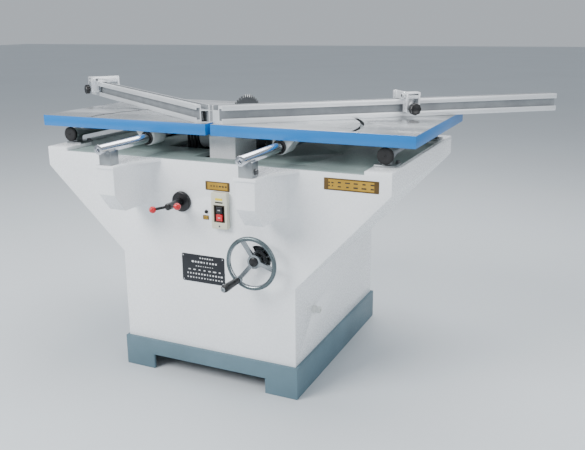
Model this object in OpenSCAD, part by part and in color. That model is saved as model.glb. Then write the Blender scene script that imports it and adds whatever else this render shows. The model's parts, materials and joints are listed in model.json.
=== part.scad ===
// Twin sliding-table mitre saw on a cast cabinet.
// Millimetres. X runs to the right along the two tables, Y runs to the back along the
// blade, Z is up. The origin is on the floor, in the middle of the plinth.

/* [Cabinet] */
// Width of the plinth
plinth_w = 653; // [640:1:670]
// Depth of the plinth
plinth_d = 753; // [740:1:770]
// Height of the plinth
plinth_h = 107; // [95:1:115]
// Width of the openings for a fork under the plinth
fork_w = 425; // [300:5:500]
// Height of the openings for a fork under the plinth
fork_h = 52; // [40:1:60]
// Width of the narrow lower part of the cabinet
cabinet_w = 633; // [620:1:640]
// Depth of the cabinet
cabinet_d = 732; // [730:1:736]
// Width of the cabinet across its wings
wing_w = 1221; // [1215:1:1226]
// Height at which the wings become upright
wing_z = 686; // [670:1:696]
// Height at which the left wing leaves the lower part
flare_left_z = 411; // [380:1:430]
// Height at which the right wing leaves the lower part
flare_right_z = 368; // [350:1:400]
// Height of the bed's top face
bed_z = 739; // [738:0.5:740]
// Thickness of the cabinet's walls
wall = 6; // [4:0.5:8]

/* [Tables] */
// Height of the tables' working faces
table_z = 850; // [850:0.5:851]
// Depth of a table's edge
table_edge = 35.8; // [34:0.2:36]
// Thickness of a table's plate inside its edge
table_plate = 12; // [10:0.5:12]
// Width of one table
table_w = 652.6; // [645:0.2:656]
// Length of a table along the blade
table_l = 614.6; // [610:0.2:620]
// Gap between the two tables
table_gap = 17.4; // [16.6:0.2:18]
// Place of the tables' middle along the blade
table_y = -12.3; // [-14:0.1:-11]
// Width of the arc-shaped clamping slots
slot_w = 12; // [11.5:0.1:13]

/* [Rails] */
// Distance of the inner guide rods from the middle
rod_x = 240; // [238:0.5:242]
// Height of the inner guide rods
rod_z = 791.3; // [790.5:0.1:792]
// Radius of the inner guide rods
rod_r = 15; // [15:0.1:15.2]
// Length of the inner guide rods
rod_l = 1110; // [1090:2:1130]
// Distance of the outer rails from the middle
rail_x = 568; // [566:0.5:570]
// Height of the outer rails
rail_z = 784.6; // [784:0.1:785]
// Radius of the outer rails
rail_r = 12.5; // [12:0.1:12.6]
// Length of the outer rails
rail_l = 580; // [570:2:590]

/* [Fences] */
// Sideways distance of the fence pivots from the middle
pivot_x = 38; // [38:0.5:42]
// Place of the fence pivots along the blade
pivot_y = -287; // [-290:1:-284]
// Angle that the left fence makes with the tables' front edge
fence_left_deg = 34.8; // [0:0.1:45]
// Angle that the right fence makes with the tables' front edge
fence_right_deg = 38.7; // [0:0.1:45]
// Reach of a fence beyond its pivot
fence_l = 1152; // [1120:2:1180]
// Height of a fence
fence_h = 57; // [56:0.5:57]
// Radius on which the fence clamps run
clamp_r = 432; // [428:1:434]
// Place of the left stop along its fence
stop_left_s = 1053; // [600:1:1100]
// Place of the right stop along its fence
stop_right_s = 611; // [500:1:1100]
// Reach of the left stop's arm behind the fence's pivot line
stop_left_reach = 62; // [30:1:70]
// Reach of the right stop's arm behind the fence's pivot line
stop_right_reach = 30; // [28:1:70]

/* [Saw unit] */
// Blade diameter
blade_d = 300; // [280:5:305]
// Number of teeth on the blade
blade_teeth = 60; // [40:4:80]
// Thickness of the blade
blade_t = 3.2; // [2.8:0.1:3.6]
// Place of the arbor along the blade
arbor_y = -63; // [-65:0.5:-61]
// Height of the arbor
arbor_z = 768; // [766:0.5:768]
// Outer radius of the arbor pulley
arbor_pulley_r = 45; // [42:0.5:45]
// Outer radius of the motor pulley
motor_pulley_r = 70; // [60:1:72]
// Height of the motor's shaft
motor_z = 530; // [526:1:534]

/* [Controls] */
// Handwheel axis, distance to the right of the middle
wheel_x = 193; // [192:0.5:194]
// Height of the handwheel axis
wheel_z = 449; // [448:0.5:450]
// Radius to the middle of the handwheel's rim
wheel_r = 78; // [74:1:82]
// Lock lever axis, distance from the middle
lever_x = -76; // [-80:1:-70]
// Height of the lock lever's axis
lever_z = 607; // [600:1:612]

/* [Hidden] */
$fn = 64;

gap = 0.3;                       // air between pieces that move past each other
running = 0.05;                  // radial clearance of a shaft in its bore
front_y = -cabinet_d / 2;        // outer face of the front wall
rim_z = bed_z + 11;              // top of the raised rim and of the rail pads
rim_w = 14;                      // width of the raised rim
seam = 0.05;                     // gap at a weld between two of the cabinet's sheets
bed_t = 14;                      // thickness of the bed
pad_x = 530;                     // inner edge of a rail pad
pad_l = 130;                     // length of a rail pad

ear_w = 60;                      // width of a rod ear
ear_l = 164;                     // how far a rod ear stands out from the wall
ear_h = 149;                     // height of a rod ear at the wall
ear_nose = 91;                   // height of its upright end
ear_slope = 48;                  // length of its sloping underside
saddle_l = 40;                   // length of a rod saddle
saddle_y = cabinet_d / 2 + ear_l - saddle_l / 2 - 2;

bracket_y = 265;                 // place of the rail brackets, front and back
cap_t = 12;                      // thickness of a rail end cap
foot_t = 6;                      // thickness of a rail bracket's foot

skirt_t = 10;                    // thickness of a table's edge wall
under_z = table_z - table_plate; // underside of a table's plate
block_l = 65;                    // length of a bearing block
block_y = [table_y - table_l / 2 + 18.6 + block_l / 2, table_y + table_l / 2 - 18.6 - block_l / 2];
roller_z = 813;                  // height of a roller's axle
roller_w = 32;                   // width of a roller

fence_front = -25;               // fence faces, measured from the pivot line
fence_back = 13;
fence_start = -6;                // front corner of the near end, measured from the pivot
fence_mitre = 33;                // angle of the cut at the near end
clamp_n = 31;                    // distance of the clamp stud behind the pivot line
clamp_s = sqrt(clamp_r * clamp_r - clamp_n * clamp_n);
stop_half = 23;                  // half the width of a stop bracket
stop_bolt_z = 29.5;              // height of the T-slot above the table
arm_z = 71;                      // height of a stop arm's hinge above the table
arm_n = -36;                     // place of a stop arm's hinge, in front of the pivot line

bore_r = 15;                     // radius of the arbor and of the blade's bore
housing_r = 38;                  // outer radius of the arbor housing
flange_r = 33;                   // radius of the blade's flanges, clear of the tables at the top of the lift
housing_x = [-168, -52];
pulley_x = [-212, -172];
belt_w = 9;                      // width of one belt
rib_w = 2.5;                     // thickness of the ribs between a pulley's grooves
groove_w = (pulley_x[1] - pulley_x[0] - 4 * rib_w) / 3;
groove_depth = 9;
column_x = [-110, 60];           // places of the two guide columns
column_y = 75;
column_r = 15;
beam_z = 300;                    // top of the cross beam
screw_r = 10;
gear_r = 30;                     // outer radius of the bevel gears
gear_tip = 12;                   // their radius at the small end

switch_x = [40, 97];
switch_z = [535, 651];
switch_d = 17.5;                 // how far the switch stands out
recess_x = [49, 88];
recess_z = [556, 611];
button_w = 22;
button_h = 21;
button_x = (recess_x[0] + recess_x[1]) / 2;
start_z = 595.5;                 // heights of the two buttons
stop_z = 571.5;

gland_y = -222;                  // place of the cable gland on the right side
gland_z = 250;
crank_r = 74;                    // distance of the crank handle from the wheel's axis
crank_deg = 232;
crank_x = wheel_x + crank_r * cos(crank_deg);
crank_z = wheel_z + crank_r * sin(crank_deg);
rim_y = front_y - 49;            // plane of the handwheel's rim
stop_front = -58;                // front of a stop bracket, from the pivot line

// ---- helpers ----
module span(x, y, z) {
    translate([x[0], y[0], z[0]]) cube([x[1] - x[0], y[1] - y[0], z[1] - z[0]]);
}
module rod_along_x(x, y, z, r) {
    translate([x[0], y, z]) rotate([0, 90, 0]) cylinder(r = r, h = x[1] - x[0]);
}
module rod_along_y(x, y, z, r) {
    translate([x, y[0], z]) rotate([-90, 0, 0]) cylinder(r = r, h = y[1] - y[0]);
}
module rod_along_z(x, y, z, r) {
    translate([x, y, z[0]]) cylinder(r = r, h = z[1] - z[0]);
}
module both_sides() {
    children();
    mirror([1, 0, 0]) children();
}
module both_ends() {
    children();
    mirror([0, 1, 0]) children();
}
// Draws in the right half, or mirrored in the left half.
module on_side(side) {
    if (side == "right") children();
    else mirror([1, 0, 0]) children();
}
// A plate standing on the front wall, with round corners.
module wall_plate(x, z, t, r) {
    translate([0, front_y, 0]) rotate([90, 0, 0]) linear_extrude(t) union() {
        translate([x[0] + r, z[0]]) square([x[1] - x[0] - 2 * r, z[1] - z[0]]);
        translate([x[0], z[0] + r]) square([x[1] - x[0], z[1] - z[0] - 2 * r]);
        for (cx = [x[0] + r, x[1] - r]) for (cz = [z[0] + r, z[1] - r]) translate([cx, cz]) circle(r);
    }
}
// A sector of a ring in the XY plane, from angle a[0] to a[1].
module ring_sector(r, a) {
    steps = 48;
    polygon(concat(
        [for (i = [0 : steps]) let (t = a[0] + (a[1] - a[0]) * i / steps) r[1] * [cos(t), sin(t)]],
        [for (i = [steps : -1 : 0]) let (t = a[0] + (a[1] - a[0]) * i / steps) r[0] * [cos(t), sin(t)]]));
}

// ---- cabinet ----
module plinth() {
    color([0.32, 0.45, 0.51]) difference() {
        span([-plinth_w / 2, plinth_w / 2], [-plinth_d / 2, plinth_d / 2], [0, plinth_h]);
        span([-plinth_w / 2 + 12, plinth_w / 2 - 12], [-plinth_d / 2 + 12, plinth_d / 2 - 12],
            [-1, plinth_h - 12]);
        span([-cabinet_w / 2 + 30, cabinet_w / 2 - 30], [-cabinet_d / 2 + 30, cabinet_d / 2 - 30],
            [0, plinth_h + 1]);
        span([-fork_w / 2, fork_w / 2], [-plinth_d, plinth_d], [-1, fork_h]);
    }
}

// Front view of the cabinet, w inside its outer face.
function wing_slope(flare_z) = (wing_z - flare_z) / ((wing_w - cabinet_w) / 2);
function inset_rise(flare_z, w) = w * (sqrt(1 + pow(wing_slope(flare_z), 2)) - wing_slope(flare_z));
module cabinet_outline(w, top, bottom) {
    polygon([
        [-cabinet_w / 2 + w, bottom], [cabinet_w / 2 - w, bottom],
        [cabinet_w / 2 - w, flare_right_z + inset_rise(flare_right_z, w)],
        [wing_w / 2 - w, wing_z + inset_rise(flare_right_z, w)], [wing_w / 2 - w, top],
        [-wing_w / 2 + w, top], [-wing_w / 2 + w, wing_z + inset_rise(flare_left_z, w)],
        [-cabinet_w / 2 + w, flare_left_z + inset_rise(flare_left_z, w)]]);
}
module cabinet_block(w, top, bottom, d) {
    translate([0, d / 2, 0]) rotate([90, 0, 0]) linear_extrude(d) cabinet_outline(w, top, bottom);
}
// The cabinet's sheets before they are parted at the welds, with the rims and rail pads.
module cabinet_shell() {
    difference() {
        cabinet_block(0, rim_z, plinth_h, cabinet_d);
        cabinet_block(wall, rim_z + 1, plinth_h - 1, cabinet_d - 2 * wall);
        span([-wing_w / 2 + rim_w, wing_w / 2 - rim_w], [-cabinet_d, cabinet_d], [bed_z, rim_z + 1]);
        // handwheel bush, curved inspection slot, lever shaft, switch cable, gland, rear door
        rod_along_y(wheel_x, [front_y - 1, front_y + wall + 1], wheel_z, 16);
        translate([wheel_x, front_y + wall + 1, wheel_z]) rotate([90, 0, 0])
            linear_extrude(wall + 2) ring_sector([25, 43], [-25, 118]);
        rod_along_y(lever_x, [front_y - 1, front_y + wall + 1], lever_z, 9 + running);
        rod_along_y(button_x, [front_y - 1, front_y + wall + 1], switch_z[0] + 12, 6);
        rod_along_x([cabinet_w / 2 - wall - 1, cabinet_w / 2 + 1], gland_y, gland_z, 9);
        span([-180, 180], [0, cabinet_d], [300, 560]);
    }
    both_sides() both_ends() span([pad_x, wing_w / 2 - rim_w + 0.5],
        [front_y, front_y + pad_l], [bed_z, rim_z]);
    both_sides() span([wing_w / 2 - rim_w, wing_w / 2 - wall],
        [front_y + wall, -front_y - wall], [bed_z, rim_z]);
}
// Parts the front and rear panels from the sides, and each wing from the wall under it.
module weld_seams() {
    both_ends() {
        span([-wing_w / 2 - 1, wing_w / 2 + 1], [front_y + wall, front_y + wall + seam],
            [plinth_h - 1, bed_z + seam]);
        span([-wing_w / 2 - 1, wing_w / 2 + 1], [front_y - 1, front_y + wall + seam],
            [bed_z, bed_z + seam]);
    }
    span([-cabinet_w / 2 - 1, -cabinet_w / 2 + wall + 1], [front_y + wall, -front_y - wall],
        [flare_left_z, flare_left_z + seam]);
    span([cabinet_w / 2 - wall - 1, cabinet_w / 2 + 1], [front_y + wall, -front_y - wall],
        [flare_right_z, flare_right_z + seam]);
}
module cabinet() {
    color([0.93, 0.94, 0.95]) difference() {
        cabinet_shell();
        weld_seams();
    }
}
module bed_plate() {
    color([0.62, 0.68, 0.66]) difference() {
        span([-wing_w / 2 + wall, wing_w / 2 - wall], [front_y + wall, -front_y - wall], [bed_z - bed_t, bed_z]);
        span([-74, 74], [-289, 160], [bed_z - bed_t - 1, bed_z + 1]);
        span([-265, -73], [-150, 60], [bed_z - bed_t - 1, bed_z + 1]);
        for (p = [[-351, -258], [-14, -322], [318, -289], [351, -64], [-348, 200], [318, 260]])
            rod_along_z(p[0], p[1], [bed_z - bed_t - 1, bed_z + 1], 5);
    }
}
// One bracket that carries the end of a guide rod, for the front of the machine.
module rod_ear() {
    translate([rod_x - ear_w / 2, 0, 0]) rotate([90, 0, 90]) linear_extrude(ear_w) polygon([
        [front_y, bed_z - ear_h], [front_y - ear_l + ear_slope, bed_z - ear_h],
        [front_y - ear_l, bed_z - ear_nose], [front_y - ear_l, bed_z], [front_y, bed_z]]);
    for (side = [-1, 1]) translate([rod_x + side * ear_w / 2, front_y, bed_z - ear_h])
        linear_extrude(ear_h) difference() {
            translate([side > 0 ? 0 : -26, -26]) square(26);
            translate([side * 26, -26]) circle(26);
        }
    for (side = [-1, 1]) translate([rod_x + side * ear_w / 2, front_y, bed_z - 9])
        linear_extrude(9) polygon([[0, 0], [side * 62, 0], [0, -100]]);
    span([rod_x - ear_w / 2 - 5, rod_x + ear_w / 2 + 5], [front_y - ear_l - 4, front_y - ear_l + 66],
        [bed_z - 9, bed_z]);
}
module rod_ears() {
    color([0.93, 0.94, 0.95]) both_sides() both_ends() rod_ear();
}
module rod_saddles() {
    color([0.75, 0.78, 0.8]) both_sides() both_ends() difference() {
        span([rod_x - 22, rod_x + 22], [-saddle_y - saddle_l / 2, -saddle_y + saddle_l / 2], [bed_z, rod_z - 7]);
        rod_along_y(rod_x, [-saddle_y - saddle_l, -saddle_y + saddle_l], rod_z, rod_r);
    }
}
module inner_rods() {
    color([0.8, 0.83, 0.88]) both_sides() difference() {
        rod_along_y(rod_x, [-rod_l / 2, rod_l / 2], rod_z, rod_r);
        both_ends() rod_along_y(rod_x, [-rod_l / 2 - 1, -rod_l / 2 + 14], rod_z, 4.2);
    }
}
module outer_rails() {
    color([0.5, 0.53, 0.56]) both_sides() rod_along_y(rail_x, [-rail_l / 2, rail_l / 2], rail_z, rail_r);
}
module rail_brackets() {
    color([0.6, 0.64, 0.65]) both_sides() both_ends() difference() {
        union() {
            span([rail_x - 36, rail_x + 28], [-bracket_y - 25, -bracket_y + 40], [rim_z, rim_z + foot_t]);
            span([rail_x - 13, rail_x + 13], [-bracket_y - 18, -bracket_y + 14], [rim_z + foot_t, rail_z]);
            rod_along_y(rail_x, [-bracket_y - 18, -bracket_y + 14], rail_z, 19);
        }
        rod_along_y(rail_x, [-bracket_y - 40, -bracket_y + 40], rail_z, rail_r);
    }
}
module rail_end_caps() {
    color([0.08, 0.08, 0.09]) both_sides() both_ends() translate([rail_x, -rail_l / 2, rail_z])
        rotate([90, 0, 0]) rotate_extrude() polygon([
            [0, 0], [25, 0], [25, cap_t - 2], [23, cap_t], [3, cap_t], [3, cap_t - 2], [0, cap_t - 2]]);
}
module hex_bolt(r, h) {
    cylinder(r = r, h = h, $fn = 6);
    cylinder(r = r * 1.2, h = 1.2);
}
module frame_bolts() {
    color([0.25, 0.27, 0.3]) both_sides() both_ends() {
        for (bx = [rail_x - 27, rail_x + 20])
            translate([bx, -bracket_y + 30, rim_z + foot_t]) hex_bolt(7, 7);
        translate([rod_x + 22, -saddle_y, bed_z + 16]) rotate([0, 90, 0]) hex_bolt(8, 7);
    }
}

// ---- front panel ----
module nameplate() {
    color([0.05, 0.06, 0.1]) wall_plate([-86, 72], [341.5, 435], 1.5, 5);
}
module label_plates() {
    color([0.72, 0.58, 0.2]) {
        wall_plate([13, 99], [652.5, 681], 1.2, 3);
        wall_plate([409.5, 574.5], [689, 724.5], 1.2, 2);
        wall_plate([0, 21], [556, 570], 1.2, 1.5);
    }
}
module plate_rivets() {
    color([0.75, 0.76, 0.78]) for (p = [[-80, 347.5], [66, 347.5], [-80, 429], [66, 429]])
        rod_along_y(p[0], [front_y - 2.7, front_y - 1.5], p[1], 2);
}
module switch_housing() {
    color([0.8, 0.8, 0.72]) difference() {
        wall_plate(switch_x, switch_z, switch_d, 5);
        span(recess_x, [front_y - switch_d - 1, front_y - 3.5], recess_z);
    }
}
module switch_bezel() {
    y0 = front_y - switch_d + 1;
    color([0.3, 0.28, 0.22]) difference() {
        span(recess_x, [y0, front_y - 3.5], recess_z);
        span([recess_x[0] + 2.5, recess_x[1] - 2.5], [y0 - 1, front_y - 6], [recess_z[0] + 2.5, recess_z[1] - 2.5]);
    }
}
module button(z) {
    span([button_x - button_w / 2, button_x + button_w / 2], [front_y - switch_d - 1, front_y - 10.5],
        [z - button_h / 2, z + button_h / 2]);
}
module start_button() {
    color([0.06, 0.07, 0.1]) button(start_z);
}
module stop_button() {
    color([0.8, 0.1, 0.15]) button(stop_z);
}
module pilot_lamp() {
    color([0.1, 0.1, 0.12]) translate([13, front_y, 582]) rotate([90, 0, 0]) rotate_extrude()
        polygon([[0, 0], [6, 0], [6, 2], [4.5, 3], [4.5, 6], [3, 7.5], [0, 8]]);
}
module cable_gland() {
    color([0.85, 0.87, 0.88]) difference() {
        union() {
            rod_along_x([cabinet_w / 2, cabinet_w / 2 + 8], gland_y, gland_z, 13);
            rod_along_x([cabinet_w / 2 - wall - 6, cabinet_w / 2 + 26], gland_y, gland_z, 9);
            rod_along_x([cabinet_w / 2 + 14, cabinet_w / 2 + 26], gland_y, gland_z, 11);
        }
        rod_along_x([cabinet_w / 2 - wall - 7, cabinet_w / 2 + 27], gland_y, gland_z, 5);
    }
}
module rear_cover() {
    color([0.9, 0.92, 0.93]) difference() {
        union() {
            span([-200, 200], [-front_y, -front_y + 2.5], [280, 580]);
            for (sx = [-190, 190]) for (sz = [290, 570])
                rod_along_y(sx, [-front_y + 2.5, -front_y + 5.5], sz, 6);
        }
        for (i = [0 : 6]) span([-60, 60], [-front_y - 1, -front_y + 4], [370 + 18 * i, 377 + 18 * i]);
    }
}
module shaft_bush() {
    color([0.6, 0.62, 0.64]) difference() {
        union() {
            rod_along_y(wheel_x, [front_y - 5, front_y], wheel_z, 22);
            rod_along_y(wheel_x, [front_y - 5, front_y + wall + 14], wheel_z, 16);
        }
        rod_along_y(wheel_x, [front_y - 6, front_y + wall + 15], wheel_z, screw_r + running);
    }
}
module lever_disc() {
    color([0.05, 0.05, 0.06]) translate([lever_x, front_y, lever_z]) rotate([90, 0, 0]) rotate_extrude()
        polygon([[11 + gap, 0], [33, 0], [33, 8], [30, 11], [11 + gap, 12]]);
}
module lock_lever() {
    color([0.08, 0.08, 0.09]) {
        rod_along_y(lever_x, [front_y - 82, front_y - gap], lever_z, 11);
        rod_along_y(lever_x, [front_y - 1, front_y + 30], lever_z, 9);
        // two arms with balls, turned 12 degrees and leaning 29 degrees towards the user
        for (side = [-1, 1]) translate([lever_x, front_y - 72, lever_z])
            rotate([0, -12, 0]) rotate([0, side * 90, 0]) rotate([29, 0, 0]) {
                cylinder(r = 4.5, h = 46);
                translate([0, 0, 53]) sphere(r = 11);
            }
    }
}

// ---- saw unit ----
module guide_columns() {
    color([0.78, 0.8, 0.84]) for (x = column_x) rod_along_z(x, column_y, [beam_z, bed_z - bed_t], column_r);
}
module cross_beam() {
    color([0.85, 0.87, 0.88]) difference() {
        span([-cabinet_w / 2 + wall, cabinet_w / 2 - wall], [column_y - 30, column_y + 30], [beam_z - 22, beam_z]);
        rod_along_z(wheel_x, column_y, [beam_z - 12, beam_z + 1], screw_r + running);
    }
}
module carriage() {
    color([0.85, 0.87, 0.88]) difference() {
        union() {
            span([-150, 120], [20, 40], [440, 700]);
            span([-150, -70], [arbor_y, 40], [700, arbor_z]);
            span([110, wheel_x + 24], [20, 40], [560, 640]);
            for (x = column_x) {
                rod_along_z(x, column_y, [500, 690], 28);
                span([x - 20, x + 20], [39, column_y], [500, 690]);
            }
            rod_along_z(wheel_x, column_y, [560, 620], 24);
            span([wheel_x - 18, wheel_x + 18], [39, column_y], [560, 620]);
        }
        rod_along_x([-151, -69], arbor_y, arbor_z, housing_r);
        span([-8, 8], [19, 41], [630, 701]); // the blade's way through the plate
        for (x = column_x) rod_along_z(x, column_y, [499, 691], column_r + running);
        rod_along_z(wheel_x, column_y, [559, 621], screw_r + running);
    }
}
module arbor_housing() {
    color([0.75, 0.8, 0.82]) difference() {
        rod_along_x(housing_x, arbor_y, arbor_z, housing_r);
        rod_along_x([housing_x[0] - 1, housing_x[1] + 1], arbor_y, arbor_z, 24);
        rod_along_x([housing_x[0] - 1, housing_x[0] + 16], arbor_y, arbor_z, 31);
        rod_along_x([housing_x[1] - 16, housing_x[1] + 1], arbor_y, arbor_z, 31);
    }
}
module arbor_bearings() {
    color([0.7, 0.72, 0.75]) for (x = [[housing_x[0], housing_x[0] + 16], [housing_x[1] - 16, housing_x[1]]])
        difference() {
            rod_along_x(x, arbor_y, arbor_z, 31);
            rod_along_x([x[0] - 1, x[1] + 1], arbor_y, arbor_z, bore_r + running);
        }
}
module motor() {
    color([0.3, 0.38, 0.42]) {
        difference() {
            union() {
                rod_along_x([-150, 90], arbor_y, motor_z, 74);
                rod_along_x([90, 120], arbor_y, motor_z, 68);
                span([-130, 80], [arbor_y, 20], [motor_z - 50, motor_z + 50]);
                span([-70, 20], [arbor_y - 96, arbor_y - 60], [motor_z - 35, motor_z + 35]);
            }
            rod_along_x([-151, -128], arbor_y, motor_z, 14 + running);
        }
        for (i = [0 : 23]) translate([-110, arbor_y, motor_z]) rotate([i * 15, 0, 0])
            span([0, 170], [-1.5, 1.5], [73, 79]);
    }
}
// A bent sheet, open at the top, back and bottom, so that chips fall through.
module blade_guard() {
    color([0.92, 0.93, 0.94]) difference() {
        union() {
            span([-48, 48], [-232, -84], [640, 800]);
            span([housing_x[1], -46], [-97, -84], [745, 790]);
        }
        span([-45.5, 45.5], [-229.5, -83], [639, 801]);
    }
}
module pulley(z, r, hole) {
    difference() {
        rod_along_x(pulley_x, arbor_y, z, r);
        for (i = [0 : 2]) let (x = pulley_x[0] + rib_w + i * (groove_w + rib_w)) difference() {
            rod_along_x([x, x + groove_w], arbor_y, z, r + 1);
            rod_along_x([x - 1, x + groove_w + 1], arbor_y, z, r - groove_depth);
        }
        if (hole > 0) rod_along_x([pulley_x[0] - 1, pulley_x[1] + 1], arbor_y, z, hole);
    }
}
// Outline of a belt loop at a distance out from the two groove bottoms, in (Y, Z).
module belt_loop(out) {
    r1 = arbor_pulley_r - groove_depth + out;
    r2 = motor_pulley_r - groove_depth + out;
    rise = (r2 - r1) / (arbor_z - motor_z);
    run = sqrt(1 - rise * rise);
    translate([arbor_y, arbor_z]) circle(r1);
    translate([arbor_y, motor_z]) circle(r2);
    polygon([
        [arbor_y + r1 * run, arbor_z + r1 * rise], [arbor_y - r1 * run, arbor_z + r1 * rise],
        [arbor_y - r2 * run, motor_z + r2 * rise], [arbor_y + r2 * run, motor_z + r2 * rise]]);
}
module v_belts() {
    color([0.1, 0.1, 0.1]) for (i = [0 : 2])
        translate([pulley_x[0] + rib_w + i * (groove_w + rib_w) + (groove_w - belt_w) / 2, 0, 0])
            rotate([90, 0, 90]) linear_extrude(belt_w) difference() {
                belt_loop(groove_depth + 1);
                belt_loop(0.6);
            }
}
module arbor_shaft() {
    color([0.7, 0.72, 0.75]) {
        rod_along_x([pulley_x[0] - 1, 36], arbor_y, arbor_z, bore_r);
        rod_along_x([-45, -20], arbor_y, arbor_z, 21);
    }
}
module saw_blade() {
    r = blade_d / 2;
    gullet = 9;
    color([0.3, 0.31, 0.33]) translate([-blade_t / 2, arbor_y, arbor_z]) rotate([90, 0, 90])
        linear_extrude(blade_t) difference() {
            polygon([for (i = [0 : blade_teeth - 1]) let (a = -360 * i / blade_teeth)
                for (p = [[r, 0], [r - 1.5, 2.2], [r - gullet, 3.2], [r - gullet, 5]])
                    p[0] * [cos(a - p[1]), sin(a - p[1])]]);
            circle(bore_r);
        }
}
module blade_flanges() {
    color([0.6, 0.62, 0.65]) {
        difference() {
            union() {
                rod_along_x([-8, -blade_t / 2], arbor_y, arbor_z, flange_r);
                rod_along_x([-20, -8], arbor_y, arbor_z, 24);
            }
            rod_along_x([-21, 0], arbor_y, arbor_z, bore_r);
        }
        difference() {
            rod_along_x([blade_t / 2, 8], arbor_y, arbor_z, flange_r);
            rod_along_x([0, 9], arbor_y, arbor_z, bore_r);
        }
        difference() {
            translate([8, arbor_y, arbor_z]) rotate([0, 90, 0]) cylinder(r = 26, h = 20, $fn = 6);
            rod_along_x([7, 29], arbor_y, arbor_z, bore_r);
        }
    }
}
module arbor_pulley() {
    color([0.35, 0.37, 0.4]) pulley(arbor_z, arbor_pulley_r, bore_r);
}
module motor_pulley() {
    color([0.35, 0.37, 0.4]) {
        pulley(motor_z, motor_pulley_r, 0);
        rod_along_x([pulley_x[1] - 1, -130], arbor_y, motor_z, 14);
    }
}
module bevel_gear() {
    cylinder(r1 = gear_r - 0.6, r2 = gear_tip - 0.6, h = gear_r - gear_tip);
    translate([0, 0, -6]) cylinder(r = gear_r - 0.6, h = 6.01);
}
module lift_screw() {
    color([0.72, 0.74, 0.77]) {
        rod_along_z(wheel_x, column_y, [beam_z - 12 + gap, 700], screw_r);
        translate([wheel_x, column_y, wheel_z - gear_r]) bevel_gear();
        rod_along_z(wheel_x, column_y, [beam_z + gap, beam_z + 12], 16);
    }
}
module handwheel_shaft() {
    color([0.72, 0.74, 0.77]) {
        rod_along_y(wheel_x, [front_y - 20, column_y - gear_tip - 1], wheel_z, screw_r);
        translate([wheel_x, column_y - gear_r, wheel_z]) rotate([-90, 0, 0]) bevel_gear();
    }
}
module handwheel() {
    hub_y = front_y - 33;
    color([0.65, 0.7, 0.73]) difference() {
        union() {
            translate([wheel_x, rim_y, wheel_z]) rotate([90, 0, 0]) rotate_extrude($fn = 96)
                translate([wheel_r, 0]) circle(7, $fn = 32);
            rod_along_y(wheel_x, [hub_y, front_y - 8], wheel_z, 22);
            for (i = [0 : 2]) translate([wheel_x, front_y - 21, wheel_z])
                rotate([0, -(crank_deg + 120 * i), 0]) rotate([0, 0, -20])
                    translate([14, -5, -6.5]) cube([wheel_r / cos(20) - 18, 8, 13]);
            rod_along_y(crank_x, [rim_y - 8, rim_y + 8], crank_z, 11);
            rod_along_y(wheel_x, [hub_y - 4, hub_y], wheel_z, 14);
            rod_along_y(crank_x, [rim_y - 96, rim_y], crank_z, 4);
            rod_along_y(crank_x, [rim_y - 96, rim_y - 93], crank_z, 7);
        }
        rod_along_y(wheel_x, [front_y - 20, front_y], wheel_z, screw_r);
    }
}
module crank_handle() {
    y0 = rim_y - 8 - gap;
    color([0.06, 0.06, 0.07]) translate([crank_x, y0, crank_z]) rotate([90, 0, 0]) rotate_extrude()
        polygon([[4 + running, 0], [9, 0], [10.5, 8], [11, 30], [12.5, 62], [12, 78], [9, 84.4],
            [7.5, 84.4], [4 + running, 84.4]]);
}

// ---- tables ----
module table_slot() {
    translate([pivot_x, pivot_y, under_z - 1]) {
        linear_extrude(table_plate + 2)
            ring_sector([clamp_r - slot_w / 2, clamp_r + slot_w / 2], [-0.5, 52]);
        for (a = [-0.5, 52]) rotate([0, 0, a]) translate([clamp_r, 0, 0])
            cylinder(r = slot_w / 2, h = table_plate + 2);
    }
}
module table() {
    x0 = table_gap / 2;
    x1 = x0 + table_w;
    y0 = table_y - table_l / 2;
    y1 = y0 + table_l;
    difference() {
        union() {
            span([x0, x1], [y0, y1], [under_z, table_z]);
            difference() {
                span([x0, x1], [y0, y1], [table_z - table_edge, under_z + 1]);
                span([x0 + skirt_t, x1 - skirt_t], [y0 + skirt_t, y1 - skirt_t],
                    [table_z - table_edge - 1, under_z]);
            }
            span([116, 124], [y0 + 1, y1 - 1], [under_z - 16, under_z + 1]);
            span([616, 624], [y0 + 1, y1 - 1], [under_z - 16, under_z + 1]);
            span([x0 + 1, x1 - 1], [196, 204], [under_z - 16, under_z + 1]);
            rod_along_z(pivot_x, pivot_y, [under_z - 10, under_z + 1], 14);
        }
        table_slot();
        rod_along_z(pivot_x, pivot_y, [under_z - 11, table_z + 1], 5);
    }
}
module bearing_block(y) {
    difference() {
        union() {
            span([rod_x - 25, rod_x + 25], [y - block_l / 2, y + block_l / 2], [rod_z, under_z]);
            rod_along_y(rod_x, [y - block_l / 2, y + block_l / 2], rod_z, 25);
            for (ry = [y - block_l / 2, y + block_l / 2 - 8]) translate([rod_x, ry + 8, 0])
                rotate([90, 0, 0]) linear_extrude(8)
                    polygon([[24, rod_z - 6], [24, under_z], [62, under_z], [62, under_z - 8]]);
        }
        rod_along_y(rod_x, [y - block_l, y + block_l], rod_z, 22);
    }
    difference() {
        rod_along_y(rod_x, [y - block_l / 2 - 4, y + block_l / 2 + 4], rod_z, 22);
        rod_along_y(rod_x, [y - block_l, y + block_l], rod_z, rod_r + running);
    }
}
module undercarriage() {
    for (y = block_y) bearing_block(y);
    for (side = [-1, 1]) let (x = rail_x + side * (roller_w / 2 + 3.5))
        span([x - 3, x + 3], [table_y - 20, table_y + 20], [roller_z - 12, under_z]);
    rod_along_x([rail_x - roller_w / 2 - 9, rail_x + roller_w / 2 + 9], table_y, roller_z, 6);
}
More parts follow.
